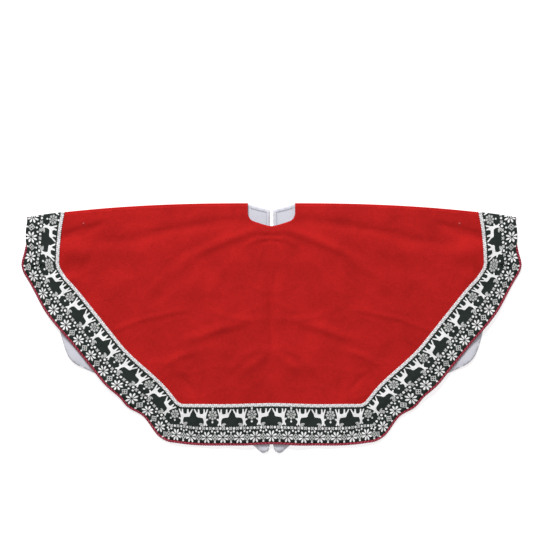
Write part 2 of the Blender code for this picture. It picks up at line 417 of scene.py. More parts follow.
RELIEF_STEP = 0.002
RELIEF_XS = np.arange(0, 0.66, RELIEF_STEP)
RELIEF_YS = np.arange(-0.62, 0.04, RELIEF_STEP)
FRONT_RELIEF = front_relief(*np.meshgrid(RELIEF_XS, RELIEF_YS))


def front_height(x, y):
    """The relief between the points at which it was worked out."""
    column = np.clip(np.abs(x) / RELIEF_STEP, 0, len(RELIEF_XS) - 1.001)
    row = np.clip((y - RELIEF_YS[0]) / RELIEF_STEP, 0, len(RELIEF_YS) - 1.001)
    left, low = column.astype(int), row.astype(int)
    part_x, part_y = column - left, row - low
    below = FRONT_RELIEF[low, left] * (1 - part_x) + FRONT_RELIEF[low, left + 1] * part_x
    above = FRONT_RELIEF[low + 1, left] * (1 - part_x) + FRONT_RELIEF[low + 1, left + 1] * part_x
    return below * (1 - part_y) + above * part_y


def mound(x, y, place, reach):
    """1 at a place, falling off over reach, which may differ along x and y."""
    reach_x, reach_y = np.broadcast_to(reach, 2)
    return np.exp(-((x - place[0]) / reach_x) ** 2 - ((y - place[1]) / reach_y) ** 2)


SIDE_CORNER = heptagon_corner(1.5)
FULL_INSET = 0.098  # rim to the inner side of the braid
SIDE_BULGE = 0.015  # how far the slanted sides lie out of their cut
SIDE_BULGE_INNER = 0.018
CORNER_PULL = 0.0264  # and back in towards the lower corners
CORNER_PULL_INNER = 0.02
RIM_BUMPS = (  # waves of the slanted rim: place, reach, height
    ((0.535, -0.27), 0.05, 0.0038),
    ((0.343, -0.472), 0.026, 0.009),
    ((0.279, -0.537), 0.028, 0.003),
)
FRONT_SHIFTS = (  # place, reach, how far the cloth is moved there
    ((0.5, -0.115), 0.05, (-0.006, -0.014)),
    ((0.505, -0.045), (0.04, 0.06), (0.005, 0.0)),
    ((0.6, -0.085), (0.035, 0.03), (-0.006, 0.0)),
    ((0.6, -0.02), (0.04, 0.03), (-0.003, 0.0)),
    ((0.615, -0.012), (0.02, 0.013), (-0.006, 0.0)),
    ((0.455, -0.04), 0.03, (-0.005, -0.0035)),
)
FLAP_SHIFTS = (  # at the corner and at the tip, and above each of them
    (FLAP.corners[4], 0.045, (-0.002, 0.001)),
    (FLAP.corners[4] + (0.01, 0.04), 0.045, (0.0045, 0.0)),
    (FLAP.corners[3] + (0.016, 0.0), (0.02, 0.05), (-0.003, -0.0122)),
    (FLAP.corners[3] + (0.02, 0.025), (0.045, 0.018), (-0.0045, 0.0)),
)
HEM_OUT = 0.0046  # the bottom hem's stretch outwards
HEM_LIFT = 0.0037  # and its lift over the slit


def moved(x, y, shifts):
    """The sum of some shifts, x and y."""
    total = np.zeros((2, *np.shape(x)))
    for place, reach, shift in shifts:
        total += np.multiply.outer(shift, mound(x, y, place, reach))
    return total


def front_drift(x, y):
    """How the front's cloth lies out of its cut, in its own plane."""
    across, side = np.abs(x), np.sign(x)
    up_side, outward = FRONT.along(3), -FRONT.inward(3)
    run = (SIDE_CORNER[0] - across) * up_side[0] + (SIDE_CORNER[1] - y) * up_side[1]
    inset = (SIDE_CORNER[0] - across) * outward[0] + (SIDE_CORNER[1] - y) * outward[1]
    deep = np.clip(inset / FULL_INSET, 0, 1)
    rise = (SIDE_BULGE + (SIDE_BULGE_INNER - SIDE_BULGE) * deep) * smooth((run + 0.045 * deep) / 0.13)
    pull = CORNER_PULL + (CORNER_PULL_INNER - CORNER_PULL) * deep
    fall = pull * smooth((run - 0.335 + 0.045 * deep) / (0.14 + 0.03 * deep))
    normal = (rise - fall) * (1 - smooth((run - 0.53) / 0.06)) * (1 - smooth((inset - 0.11) / 0.2))
    for place, reach, height in RIM_BUMPS:
        normal = normal + height * mound(across, y, place, reach)
    shift_x, shift_y = moved(across, y, FRONT_SHIFTS) + np.multiply.outer(outward, normal)
    from_end = -beyond(x, y, FRONT, (4,))
    under = np.maximum(TUCK - from_end, 0)
    shift_x = shift_x + tucked(y) * (TUCK_SHIFT * (1 - smooth((from_end - TUCK) / 0.035)) - 2.4 * under)

    from_hem = y - FRONT.corners[2][1]
    hem = np.clip(1 - from_hem / 0.1, 0, 1.1) * (1 - smooth((across - 0.16) / 0.08))
    reach = 0.045 + 0.045 * np.clip(from_hem / FULL_INSET, 0, 1)
    lift = HEM_LIFT * np.exp(-(across / reach) ** 2) * smooth((-0.3 - y) / 0.2)
    shift_y = shift_y - HEM_OUT * hem + lift
    return side * shift_x, shift_y * off_fold(x, y, 0.03)


def flap_height(x, y):
    """How far a flap lifts off the floor; its corner and tip curl up a little and roll down at the rim."""
    across = np.abs(x)
    corner, tip = FLAP.corners[4], FLAP.corners[3]
    inset = -beyond(x, y, FLAP, (3, 4))
    lift = 0.0026 * mound(across, y, corner, 0.035) + 0.0028 * mound(across, y, tip, 0.03)
    lift = lift + 0.0004 * (1 + slow_waves(x, y, 9, 0.1))
    roll = (0.0012 + 0.0024 * mound(across, y, tip, 0.04)) * (1 - smooth(inset / 0.009))
    return (lift - roll) * off_fold(x, y, 0.03)


HEM_ALLOWANCE = 0.0085  # cloth turned in and stitched down along the neck and the slit
HEM_STEP = 0.0006


def flap_neck_y(x):
    """The flap's neck edge over a place along the fold."""
    curve = np.array(flap_neck_curve())[:0:-1]
    return np.interp(np.abs(x), curve[:, 0], curve[:, 1])


def slit_x(y):
    tip, neck = FLAP.corners[3], FLAP.corners[2]
    return tip[0] + (neck[0] - tip[0]) * (y - tip[1]) / (neck[1] - tip[1])


def hem_step(x, y):
    """The lining is this much higher where the hem allowance lies under it."""
    from_edge = np.minimum(np.abs(x) - slit_x(y), flap_neck_y(x) - y)
    return HEM_STEP * (1 - smooth((from_edge - HEM_ALLOWANCE + 0.0012) / 0.0012))


def flap_drift(x, y):
    """How a flap lies out of its cut: its tip lies a little outwards and the slit narrows above it."""
    shift_x, shift_y = moved(np.abs(x), y, FLAP_SHIFTS)
    return np.sign(x) * shift_x, shift_y


def placed(x, y, shift, z):
    return np.stack(np.broadcast_arrays(x + shift[0], y + shift[1] + CENTRE_Y, z), axis=-1)


def on_front(x, y, d):
    return placed(x, y, front_drift(x, y), FRONT_Z + d + front_height(x, y))


def on_flap(x, y, d):
    return placed(x, y, flap_drift(x, y), FLAP_Z - d + flap_height(x, y))


TURN_SHARE = 0.43  # of the turn, on each side of the straight step at its middle
TURN_TS = np.concatenate([np.linspace(0, TURN_SHARE, 7), np.linspace(1 - TURN_SHARE, 1, 7)])
TURN_PLAIN_HEIGHT = 0.0006  # half the height of that step at the red cloth
TURN_LEAST_HEIGHT = 0.0003


def turn_angle(t, d):
    """The angle round the fold. The middle is one straight step, higher for the outer layers: it spans the
    gap when the flap is opened, with the layers in their order."""
    last = np.arccos(np.maximum(d + TURN_PLAIN_HEIGHT, TURN_LEAST_HEIGHT) / (ROLL_R + d))
    angle = last * np.minimum(np.minimum(t, 1 - t) / TURN_SHARE, 1)
    return np.where(t < 0.5, angle, math.pi - angle)


def on_turn(x, t, d):
    """t runs round the fold: 0 where it meets the front, 1 where it meets the flap."""
    radius, angle = ROLL_R + d, turn_angle(t, d)
    shift_x = front_drift(x, turn_y(x))[0] * (1 - smooth(t))
    return placed(x, turn_y(x), (shift_x, radius * np.sin(angle)), MID_Z + radius * np.cos(angle))


# ---- meshes

def into_scene(thing):
    bpy.context.scene.collection.objects.link(thing)
    return thing


def add_piece(name, points, faces, material, smooth_faces=True):
    mesh = bpy.data.meshes.new(name)
    mesh.from_pydata(np.array(points, float).tolist(), [], faces)
    mesh.update()
    mesh.polygons.foreach_set("use_smooth", [smooth_faces] * len(mesh.polygons))
    mesh.materials.append(material)
    return into_scene(bpy.data.objects.new(name, mesh))


def mirrored(points, faces):
    """The same piece on the left side."""
    return np.array(points) * (-1, 1, 1), [tuple(reversed(face)) for face in faces]


def joined(parts):
    """Several (points, faces) as one."""
    faces, start = [], 0
    for points, part_faces in parts:
        faces += [tuple(index + start for index in face) for face in part_faces]
        start += len(points)
    return np.concatenate([points for points, _ in parts]), faces


def both_sides(points, faces):
    return joined([(points, faces), mirrored(points, faces)])


def bend(piece):
    """The piece's placement is baked into its mesh; it rides on no body."""
    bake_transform(piece)


def add_parts(name, shape, material, body, node=None, thickness=None, smooth_faces=True):
    """A finished piece that rides on its body, or, on the "fold", rides on none and has its placement baked
    in. A name with {} makes two, on the right and mirrored on the left; {} in the body and in the CAD node it
    replaces is the side as well."""
    pieces = []
    for side in ("right", "left") if "{}" in name else ("",):
        side_shape = mirrored(*shape) if side == "left" else shape
        piece = add_piece(name.format(side), *side_shape, material, smooth_faces)
        if thickness:
            solid = piece.modifiers.new("thickness", "SOLIDIFY")
            solid.thickness = thickness
            solid.offset = 0.0
        if body == "fold":
            bend(piece)
        else:
            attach(piece, body.format(side))
        if node:
            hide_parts(node.format(side))
        pieces.append(piece)
    return pieces


def spaced(loop, step):
    """A closed outline with extra points along its long edges."""
    points = []
    for start, end in zip(loop, loop[1:] + loop[:1]):
        count = max(1, int(round(np.linalg.norm(end - start) / step)))
        points += [start + (end - start) * share / count for share in range(count)]
    return points


def inside(points, loop):
    """Which of the points lie inside the outline."""
    found = np.zeros(len(points), bool)
    for start, end in zip(loop, np.roll(loop, -1, axis=0)):
        spans = (start[1] > points[:, 1]) != (end[1] > points[:, 1])
        if spans.any():
            at = (end[0] - start[0]) * (points[:, 1] - start[1]) / (end[1] - start[1]) + start[0]
            found ^= spans & (points[:, 0] < at)
    return found


def away_from(points, loop):
    """Distance of each point to the nearest corner of the outline."""
    nearest = np.full(len(points), np.inf)
    for corner in loop:
        nearest = np.minimum(nearest, (points[:, 0] - corner[0]) ** 2 + (points[:, 1] - corner[1]) ** 2)
    return np.sqrt(nearest)


def hem_places(from_tip, step_y, step_x):
    """Places up the slit and along the neck, clear of the hem allowance where the two meet."""
    ys = np.arange(FLAP.corners[3][1] + from_tip, FLAP.corners[2][1] - HEM_ALLOWANCE, step_y)
    return ys, np.arange(FLAP.corners[2][0] + HEM_ALLOWANCE, NECK_HALF - 0.004, step_x)


def hem_edge_points(step=0.0011):
    """Extra points on both sides of the flaps' hem allowance, so that its step is sharp."""
    ys, xs = hem_places(0.02, 2 * step, 2 * step)
    points = []
    for row in range(3):
        inset = HEM_ALLOWANCE - 0.0016 + step * row
        points.append(np.column_stack([slit_x(ys) + inset, ys]))
        points.append(np.column_stack([xs, flap_neck_y(xs) - inset]))
    return np.concatenate(points)


def filled(loop, step, keep_points=False, extra=None):
    """Triangles over the whole area of an outline, with points every step and the extra ones."""
    edge = np.array(loop if keep_points else spaced(loop, step))
    low, high = edge.min(0), edge.max(0)
    rows = np.arange(low[1] + step / 2, high[1], step * 0.866)
    columns = np.arange(low[0], high[0] + step, step)
    grid_x, grid_y = np.meshgrid(columns, rows)
    grid_x = grid_x + (np.arange(len(rows)) % 2)[:, None] * step / 2
    points = np.column_stack([grid_x.ravel(), grid_y.ravel()])
    points = points[inside(points, edge)]
    points = points[away_from(points, edge) > 0.6 * step]
    if extra is not None:
        points = np.concatenate([points[away_from(points, extra) > 0.5 * step], extra])
    everything = np.concatenate([edge, points])
    made = delaunay_2d_cdt([Vector(p) for p in everything], [], [list(range(len(edge)))], 1, 1e-7, False)
    points, faces = np.array([tuple(p) for p in made[0]]), np.array(made[2])
    faces = faces[inside(points[faces].mean(axis=1), edge)]
    return points, [tuple(face) for face in faces.tolist()]


def loop_area(points):
    """The area of a flat polygon, negative where it runs clockwise."""
    following = points[1:] + points[:1]
    return sum(a[0] * b[1] - a[1] * b[0] for a, b in zip(points, following)) / 2


def upward(points, faces):
    """The faces turned to look up."""
    return [face if loop_area([points[k] for k in face]) > 0 else face[::-1] for face in faces]


def turn_sheet(front_xs, flap_xs, d):
    """The cloth round the fold, from places along the front's edge to places along the flap's."""
    wide = len(front_xs)
    grid_x = np.outer(1 - TURN_TS, front_xs) + np.outer(TURN_TS, flap_xs)
    grid_t = np.repeat(TURN_TS[:, None], wide, axis=1)
    starts = [row * wide + column for row in range(len(TURN_TS) - 1) for column in range(wide - 1)]
    return on_turn(grid_x, grid_t, d).reshape(-1, 3), [(k, k + 1, k + wide + 1, k + wide) for k in starts]


# ---- materials

def set_inputs(node, values):
    """Sets inputs by name or number; a value may be another node's output."""
    for key, value in values.items():
        if isinstance(value, bpy.types.NodeSocket):
            node.id_data.links.new(value, node.inputs[key])
        else:
            node.inputs[key].default_value = value
    return node


def add_node(tree, kind, inputs):
    return set_inputs(tree.nodes.new("ShaderNode" + kind), inputs)


def new_material(name):
    material = bpy.data.materials.new(name)
    material.use_nodes = True
    return material, material.node_tree, material.node_tree.nodes["Principled BSDF"]


def thread_noise(tree, scales, detail=2.0):
    """Noise drawn out along one direction, like the slubs of a yarn."""
    coords = add_node(tree, "TexCoord", {})
    mapping = add_node(tree, "Mapping", {"Vector": coords.outputs["Object"], "Scale": scales})
    noise = add_node(tree, "TexNoise", {"Vector": mapping.outputs["Vector"], "Scale": 1.0, "Detail": detail})
    return noise.outputs["Fac"]


def combine(tree, operation, first, second):
    node = add_node(tree, "Math", {0: first, 1: second})
    node.operation = operation
    return node.outputs[0]


def ramp_colour(tree, value, stops):
    ramp = add_node(tree, "ValToRGB", {"Fac": value})
    for element, (position, colour) in zip(ramp.color_ramp.elements, stops):
        element.position = position
        element.color = (*colour, 1.0)
    return ramp.outputs["Color"]


def scaled(colour, share):
    return tuple(channel * share for channel in colour)


def woven(name, colour, yarn, spread, relief, roughness, sheen=0.0, slub=0.1, mottle=9.0):
    """Cloth of crossing yarns: yarn is their spacing in metres, slub how drawn out their thick places are,
    spread how much the colour varies, mottle how many cloudy patches lie on a metre, relief the bump."""
    material, tree, shader = new_material(name)
    across = thread_noise(tree, (slub / yarn, 1.0 / yarn, 1.0 / yarn))
    along = thread_noise(tree, (1.0 / yarn, slub / yarn, 1.0 / yarn))
    weave = combine(tree, "ADD", across, along)
    patches = thread_noise(tree, (mottle, mottle, mottle), detail=4.0)
    tone = combine(tree, "ADD", combine(tree, "MULTIPLY", weave, 0.32),
                   combine(tree, "MULTIPLY", patches, 0.36))
    stops = [(0.36, scaled(colour, 1 - spread)), (0.64, scaled(colour, 1 + spread))]
    bump = add_node(tree, "Bump", {"Strength": 0.5, "Distance": relief, "Height": weave})
    set_inputs(shader, {"Base Color": ramp_colour(tree, tone, stops), "Normal": bump.outputs["Normal"],
                        "Roughness": roughness, "Specular IOR Level": 0.08,
                        "Sheen Weight": sheen, "Sheen Roughness": 0.5})
    return material


def make_materials():
    return {
        "red": woven("red_linen", (0.47, 0.0135, 0.0125), 0.0013, 0.19, 0.0005, 0.92, slub=0.14, mottle=14.0),
        "lining": woven("lilac_lining", (0.66, 0.66, 0.73), 0.0005, 0.1, 0.0001, 0.5, sheen=0.1, mottle=22.0),
        "band": woven("charcoal_ground", (0.024, 0.032, 0.028), 0.0011, 0.35, 0.0003, 0.9),
        "figure": woven("white_figure", (0.93, 0.93, 0.93), 0.0012, 0.09, 0.0003, 0.9),
        "figure_grey": woven("grey_figure", (0.54, 0.55, 0.54), 0.0012, 0.18, 0.0003, 0.9),
        "braid": woven("white_braid", (0.85, 0.84, 0.85), 0.0006, 0.08, 0.0003, 0.7, sheen=0.2),
        "braid_silver": woven("silver_braid", (0.6, 0.6, 0.61), 0.0006, 0.1, 0.0003, 0.5, sheen=0.2),
        "cord": woven("crimson_cord", (0.46, 0.06, 0.095), 0.0005, 0.15, 0.0003, 0.6, sheen=0.2),
        # The cord's second ply: a darker copy of its crimson, painted shade for the dark dashes between the
        # twists
        "cord_dark": woven("crimson_cord_painted_shade", (0.24, 0.018, 0.036), 0.0005, 0.15, 0.0003, 0.6, sheen=0.2),
        "thread": woven("grey_thread", (0.17, 0.17, 0.25), 0.0004, 0.08, 0.0001, 0.6),
        "tack": woven("pink_thread", (0.58, 0.12, 0.12), 0.0004, 0.08, 0.0001, 0.6),
    }


# ---- cloths


def make_cloth(kind, material, d, thick, inset):
    """One cloth of the skirt, in five pieces: the front, two flaps, and the turn at each half of the fold."""
    flat, faces = filled(front_loop(inset), CLOTH_STEP)
    faces = upward(flat, faces)
    shape = on_front(*flat.T, d), faces
    front, = add_parts(f"front_{kind}_cloth", shape, material, "front", f"front_{kind}", thick)

    flat, faces = filled(flap_loop(inset), CLOTH_STEP, extra=hem_edge_points() if kind == "lining" else None)
    faces = upward(flat, faces)
    points = on_flap(*flat.T, d)
    if kind == "lining":
        points[:, 2] += hem_step(*flat.T)
    flaps = add_parts("{}_flap_" + kind + "_cloth", (points, faces), material, "{}_flap",
                      "{}_flap_" + kind, thick)
    seam = seam_xs(end_x(FRONT, inset), NECK_HALF)
    add_parts("{}_fold_" + kind, turn_sheet(seam, seam, d), material, "fold", thickness=thick)


# ---- band

def strip_loop(outline, edge, outer, inner):
    """One strip between two insets. It starts at a mitre or a rounded slit tip; the last strip of an
    outline ends where the cloth turns."""
    radius = HEM_CORNER_R - outer
    if edge in outline.slit_tips:
        start_line = outline.arc(edge, outer, SLIT_TIP_R)
    else:
        arc = outline.arc(edge, outer, radius)
        start_line = arc[len(arc) // 2:]
    if edge == outline.hem_edges[-1]:
        xs = seam_xs(end_x(FRONT, outer), end_x(FRONT, inner))
        if outline is FLAP:
            xs = np.linspace(end_x(FLAP, outer), end_x(FLAP, inner), len(xs))
        end_line = [np.array([x, turn_y(x)]) for x in xs]
    else:
        arc = outline.arc(edge + 1, outer, radius)
        end_line = arc[:len(arc) // 2 + 1] + [outline.corner(edge + 1, inner)]
    return start_line + end_line + [outline.corner(edge, inner)]


SIDE = 2 * heptagon_corner(0.5)[0]

# Rows of the pattern, as distances in from the rim
DEER_FEET = 0.0842
ROSETTE_ROW = 0.0705
PALMETTE_ROW = 0.0512
CHAIN_ROW = 0.04
TRIO_ROW = 0.0328
FLOWER_ROW = 0.0193
PAIR_PITCH = 0.0955  # from rosette to rosette
FLOWER_PITCH = 0.0392
CHAIN_PITCH = 0.0165  # from dot to dot

DEER_SCALE = 0.00095  # metres for each unit of its outline
DEER = (
    # a side view, from between the feet: forwards, up
    (-20.4, 0.5), (-17.2, 0.5), (-13.8, 6.4), (-10.6, 10.6), (-9.4, 6.0), (-9.2, 0.5), (-6.0, 0.5),
    (-5.4, 6.5), (-4.6, 11.4), (0.0, 12.6), (4.0, 11.6), (5.2, 6.0), (5.0, 0.5), (8.2, 0.5), (8.8, 6.0),
    (10.0, 10.0), (12.2, 5.0), (13.6, 0.5), (17.0, 0.5), (15.2, 7.0), (12.8, 14.0), (11.8, 20.0),
    (12.4, 23.8), (17.2, 22.8), (17.8, 25.6), (12.8, 28.8), (12.6, 33.0), (16.2, 39.0), (13.4, 41.2),
    (10.2, 37.4), (8.2, 41.2), (5.4, 39.4), (6.8, 33.0), (6.2, 27.4), (3.4, 21.8), (-4.0, 20.6),
    (-9.6, 20.2), (-13.0, 18.0), (-13.6, 13.4), (-16.8, 8.0),
)


def ring_of(sides, radius, turn=0.0):
    angles = [turn + 2 * math.pi * k / sides for k in range(sides)]
    return [(radius * math.cos(angle), radius * math.sin(angle)) for angle in angles]


def turned(shape, angle):
    cos, sin = math.cos(angle), math.sin(angle)
    return [(x * cos - y * sin, x * sin + y * cos) for x, y in shape]


def petal(inner, outer, width, angle):
    """A pointed leaf from inner to outer along angle."""
    half, most = 0.5 * (inner + outer), 0.22 * inner + 0.78 * outer
    shape = ((inner, 0.0), (half, -width), (most, -width), (outer, 0.0), (most, width), (half, width))
    return turned(shape, angle)


def band_ring(inner, outer, sides):
    """A flat ring as separate blocks."""
    low, high = ring_of(sides, inner), ring_of(sides, outer)
    return [[low[k - 1], high[k - 1], high[k], low[k]] for k in range(sides)]


def flower():
    return [petal(0.002, 0.0144, 0.0021, (k + 0.5) * math.pi / 4) for k in range(8)]


def rosette():
    petals = [petal(0.0036, 0.0122, 0.0027, k * math.pi / 4) for k in range(8)]
    return petals + band_ring(0.0015, 0.0034, 8)


def cross(reach, half_width):
    bar = ((-reach, -half_width), (reach, -half_width), (reach, half_width), (-reach, half_width))
    return [turned(bar, math.pi / 4), turned(bar, -math.pi / 4)]


def diamond():
    return band_ring(0.0058, 0.0088, 4) + cross(0.0044, 0.001)


def palmette():
    """Short leaves fanned out behind a deer's head."""
    return [petal(0.0004, 0.01, 0.0018, angle) for angle in (0.2, 0.85, 1.5)]


WHITE, GREY = 0, 1


def pattern(first_u, last_u, wide):
    """The figures between two places along a side, as (shade, outline), u along the side and w from the
    rim. The lower rows of a wide pattern are spaced to fit the rosettes."""
    figures = []
    flower_pitch, flower_start = (PAIR_PITCH / 2, PAIR_PITCH / 2) if wide else (FLOWER_PITCH, 0.0)
    chain_pitch = PAIR_PITCH / 5 if wide else CHAIN_PITCH

    def put(shapes, u, w, shade, flip=1):
        for shape in shapes:
            points = [(u + flip * x, w - y) for x, y in shape]
            figures.append((shade, points if flip < 0 else points[::-1]))

    def places(pitch, offset):
        low, high = math.ceil((first_u - offset) / pitch - 0.5), math.floor((last_u - offset) / pitch + 0.5)
        return [offset + k * pitch for k in range(low, high + 1)]

    deer = [[(x * DEER_SCALE, y * DEER_SCALE) for x, y in DEER]]
    dot, small_dot = [ring_of(10, 0.003)], [ring_of(8, 0.0024)]
    for u in places(PAIR_PITCH, PAIR_PITCH / 2):
        put(rosette(), u, ROSETTE_ROW, GREY)
        put(small_dot, u, ROSETTE_ROW + 0.0145, WHITE)
        put(small_dot, u, ROSETTE_ROW - 0.016, WHITE)
        for side in (1, -1):
            put(deer, u + side * 0.0275, DEER_FEET, WHITE, flip=-side)
            put(palmette(), u + side * 0.0236, PALMETTE_ROW, GREY, flip=side)
    for u in places(chain_pitch, chain_pitch / 2):
        put(dot, u, CHAIN_ROW, WHITE)
        put(cross(0.0044, 0.0015), u - chain_pitch / 2, CHAIN_ROW, GREY)
    for u in places(flower_pitch, flower_start):
        put(flower(), u, FLOWER_ROW, WHITE)
        middle = u + flower_pitch / 2
        put(diamond(), middle, FLOWER_ROW - 0.0004, GREY)
        put(small_dot, middle, TRIO_ROW - 0.0022, WHITE)
        put(small_dot, middle, FLOWER_ROW - 0.011, WHITE)
        for side in (1, -1):
            put(small_dot, middle + side * (0.01 if wide else 0.0068), TRIO_ROW + 0.0004, WHITE)
    return figures


def clipped(points, at, inward):
    """The part of a polygon on the inner side of a line."""
    kept = []
    for index, point in enumerate(points):
        before = points[index - 1]
        depth, depth_before = (point - at) @ inward, (before - at) @ inward
        if (depth >= 0) != (depth_before >= 0):
            kept.append(before + (point - before) * (depth_before / (depth_before - depth)))
        if depth >= 0:
            kept.append(point)
    return kept


def side_figures(outline, edge, lines):
    """The pattern along one hem edge, in flat places, cut along lines of (point, inward direction)."""
    along, inward = outline.along(edge), outline.inward(edge)
    origin = outline.corners[edge] + along * (SIDE / 2)
    length = np.linalg.norm(outline.corners[(edge + 1) % len(outline.corners)] - outline.corners[edge])
    cut = []
    wide = outline is FLAP or edge != 2
    for shade, shape in pattern(-SIDE / 2, length - SIDE / 2 + 0.02, wide):
        points = [origin + along * u + inward * w for u, w in shape]
        for at, direction in lines:
            points = clipped(points, at, direction)
            if len(points) < 3:
                break
        if len(points) >= 3 and abs(loop_area(points)) > 1e-7:
            cut.append((shade, points if loop_area(points) > 0 else points[::-1]))
    return cut


def mitre_line(outline, index, inner_side):
    """The mitre at a corner; inner_side is a point on the strip's side of it."""
    start, end = outline.corner(index, 0.0), outline.corner(index, BAND_IN)
    along = unit(end - start)
    inward = left_of(along)
    if (inner_side - start) @ inward < 0:
        inward = -inward
    return start + inward * 0.0002, inward


def strip_lines(outline, edge):
    """The lines that bound the pattern on a strip, away from the fold."""
    following = (edge + 1) % len(outline.corners)
    inward, start = outline.inward(edge), outline.corners[edge]
    middle = (start + outline.corners[following] + inward * BAND_IN) / 2
    lines = [(start + inward * (BAND_OUT + 0.0008), inward), (start + inward * (BAND_IN - 0.0005), -inward)]
    if edge in outline.slit_tips:
        across = left_of(outline.along(edge - 1))
        lines.append((start + across * 0.0015, across))
    else:
        lines.append(mitre_line(outline, edge, middle))
    if edge != outline.hem_edges[-1]:
        lines.append(mitre_line(outline, following, middle))
    return lines


def fold_line():
    """The line at which the flat end of the band stops, and the direction back over the band."""
    outer, inner = FRONT.fold_corner(4, BAND_OUT), FRONT.fold_corner(4, BAND_IN)
    along = unit(inner - outer)
    down = left_of(along)
    return outer, down if down[1] < 0 else -down


UNDER_BRAID = 0.004  # the band's edge reaches this far under the braid
LARGE_FIGURE = 0.02
FIGURE_STEP = 0.005


def raised(shapes, place):
    """Thin raised figures as one mesh; a large one gets points inside, so that it follows the cloth."""
    parts = []
    for shape in shapes:
        count = len(shape)
        if np.ptp(np.array(shape), axis=0).max() > LARGE_FIGURE:
            flat, tops = filled(shape, FIGURE_STEP, keep_points=True)
            tops = upward(flat, tops)
        else:
            flat, tops = np.array(shape), [tuple(range(count))]
        total = len(flat)
        sides = [(k, total + k, total + (k + 1) % count, (k + 1) % count) for k in range(count)]
        under = [tuple(total + index for index in face[::-1]) for face in tops]
        levels = [np.column_stack([flat, np.full(total, d)]) for d in (MOTIF_HIGH, MOTIF_LOW)]
        parts.append((np.concatenate(levels), tops + sides + under))
    points, faces = joined(parts)
    return place(*points.T), faces


def add_figures(name, figures, place, materials, body, looks_down):
    """The raised figures on a strip, white ones and grey ones; on a flap their faces look down."""
    for shade, word, key in ((WHITE, "white", "figure"), (GREY, "grey", "figure_grey")):
        shapes = [[np.array(point) for point in points] for kind, points in figures if kind == shade]
        if shapes:
            points, faces = raised(shapes, place)
            if looks_down:
                faces = [face[::-1] for face in faces]
            add_parts(f"{word}_figures_{name}", (points, faces), materials[key], body,
                      smooth_faces=False)


STRIPS = (
    # outline, edge, name, CAD node, body
    (FRONT, 2, "front", "band_front_side", "front"),
    (FRONT, 3, "front_{}_side", "band_{}_side", "front"),
    (FRONT, 4, "front_{}_end", "band_{}_end", "front"),
    (FLAP, 3, "{}_flap_back", "band_{}_back", "{}_flap"),
    (FLAP, 4, "{}_flap_end_under", "band_{}_end_under", "{}_flap"),
)


def make_flat_band(materials):
    for outline, edge, name, node, body in STRIPS:
        place = on_front if outline is FRONT else on_flap
        flat, faces = filled(strip_loop(outline, edge, BAND_OUT, BAND_IN + UNDER_BRAID), CLOTH_STEP)
        shape = place(*flat.T, BAND_D), upward(flat, faces)
        add_parts("band_" + name, shape, materials["band"], body, node, BAND_THICK)
        lines = strip_lines(outline, edge)
        if edge == 4:
            lines.append(fold_line())
        add_figures(name, side_figures(outline, edge, lines), place, materials, body, outline is FLAP)


TURN_LENGTH = math.pi * ROLL_R
TURN_SLICES = 5


def place_on_turn(x, y, d):
    """Flat places past the fold's line on a flap, wrapped round the turn."""
    past = np.clip(y - turn_y(x), 0, TURN_LENGTH)
    straight = x - END_SLOPE * past * (x / FOLD_END)
    return on_turn(straight, 1 - past / TURN_LENGTH, d)


def turn_figures():
    """The pattern of the end strip where it goes round the fold, in slices that follow the turn."""
    at, down = fold_line()
    levels = [at - down * (TURN_LENGTH * part / TURN_SLICES) for part in range(TURN_SLICES + 1)]
    sliced = []
    for low, high in zip(levels, levels[1:]):
        sliced += side_figures(FLAP, 4, strip_lines(FLAP, 4) + [(low, -down), (high, down)])
    return sliced


def make_turn_band(materials):
    """The band round the ends of the fold."""
    ends = [[end_x(outline, inset) for inset in (BAND_OUT, BAND_IN)] for outline in (FRONT, FLAP)]
    count = len(seam_xs(*ends[0]))
    shape = turn_sheet(np.linspace(*ends[0], count), np.linspace(*ends[1], count), BAND_D)
    add_parts("{}_fold_band", shape, materials["band"], "fold", thickness=BAND_THICK)
    add_figures("{}_fold", turn_figures(), place_on_turn, materials, "fold", True)


# ---- braid and cord

BRAID_CORNER_R = 0.026


def hem_path(outline, inset):
    """The line of a trim on the right side: from the middle of the front, or from the slit, to the fold."""
    last = outline.hem_edges[-1]
    if outline is FRONT:
        start = outline.corner(3, inset) * (0, 1)
        corners = (3, 4)
    else:
        start = outline.corner(3, inset) + outline.along(3) * 2.2 * SLIT_TIP_R * (inset < BAND_OUT)
        corners = (4,)
    points = [start]
    for index in corners:
        points += outline.arc(index, inset, max(HEM_CORNER_R - inset, BRAID_CORNER_R))
    return points + [outline.fold_corner(last, inset)]


def walked(points, step):
    """An open line with points every step."""
    reached = distances(points)
    at = np.linspace(0, reached[-1], max(2, int(reached[-1] / step)))
    return np.column_stack([np.interp(at, reached, column) for column in np.transpose(points)])


def tube(centre, across, up, half_wide, half_high, sides=8):
    """A closed tube round a line, its section an ellipse along across and up."""
    angles = [2 * math.pi * k / sides for k in range(sides)]
    rings = [centre + across * (half_wide * math.cos(a)) + up * (half_high * math.sin(a)) for a in angles]
    last = (len(centre) - 1) * sides
    faces = [(ring + k, ring + (k + 1) % sides, ring + sides + (k + 1) % sides, ring + sides + k)
             for ring in range(0, last, sides) for k in range(sides)]
    faces += [tuple(range(sides))[::-1], tuple(range(last, last + sides))]
    return np.stack(rings, axis=1).reshape(-1, 3), faces


class Route:
    """A trim's line in space with the directions across it and out of the cloth, measured from the fold."""

    def __init__(self, centre, up, start_length=0.0):
        along = np.gradient(centre, axis=0)
        across = np.cross(up, along)
        self.centre = centre
        self.up = up
        self.across = across / np.linalg.norm(across, axis=1, keepdims=True)
        self.length = start_length + distances(centre)
        self.pressed = np.ones(len(centre))  # how far the trim is pressed flat, from 0 to 1


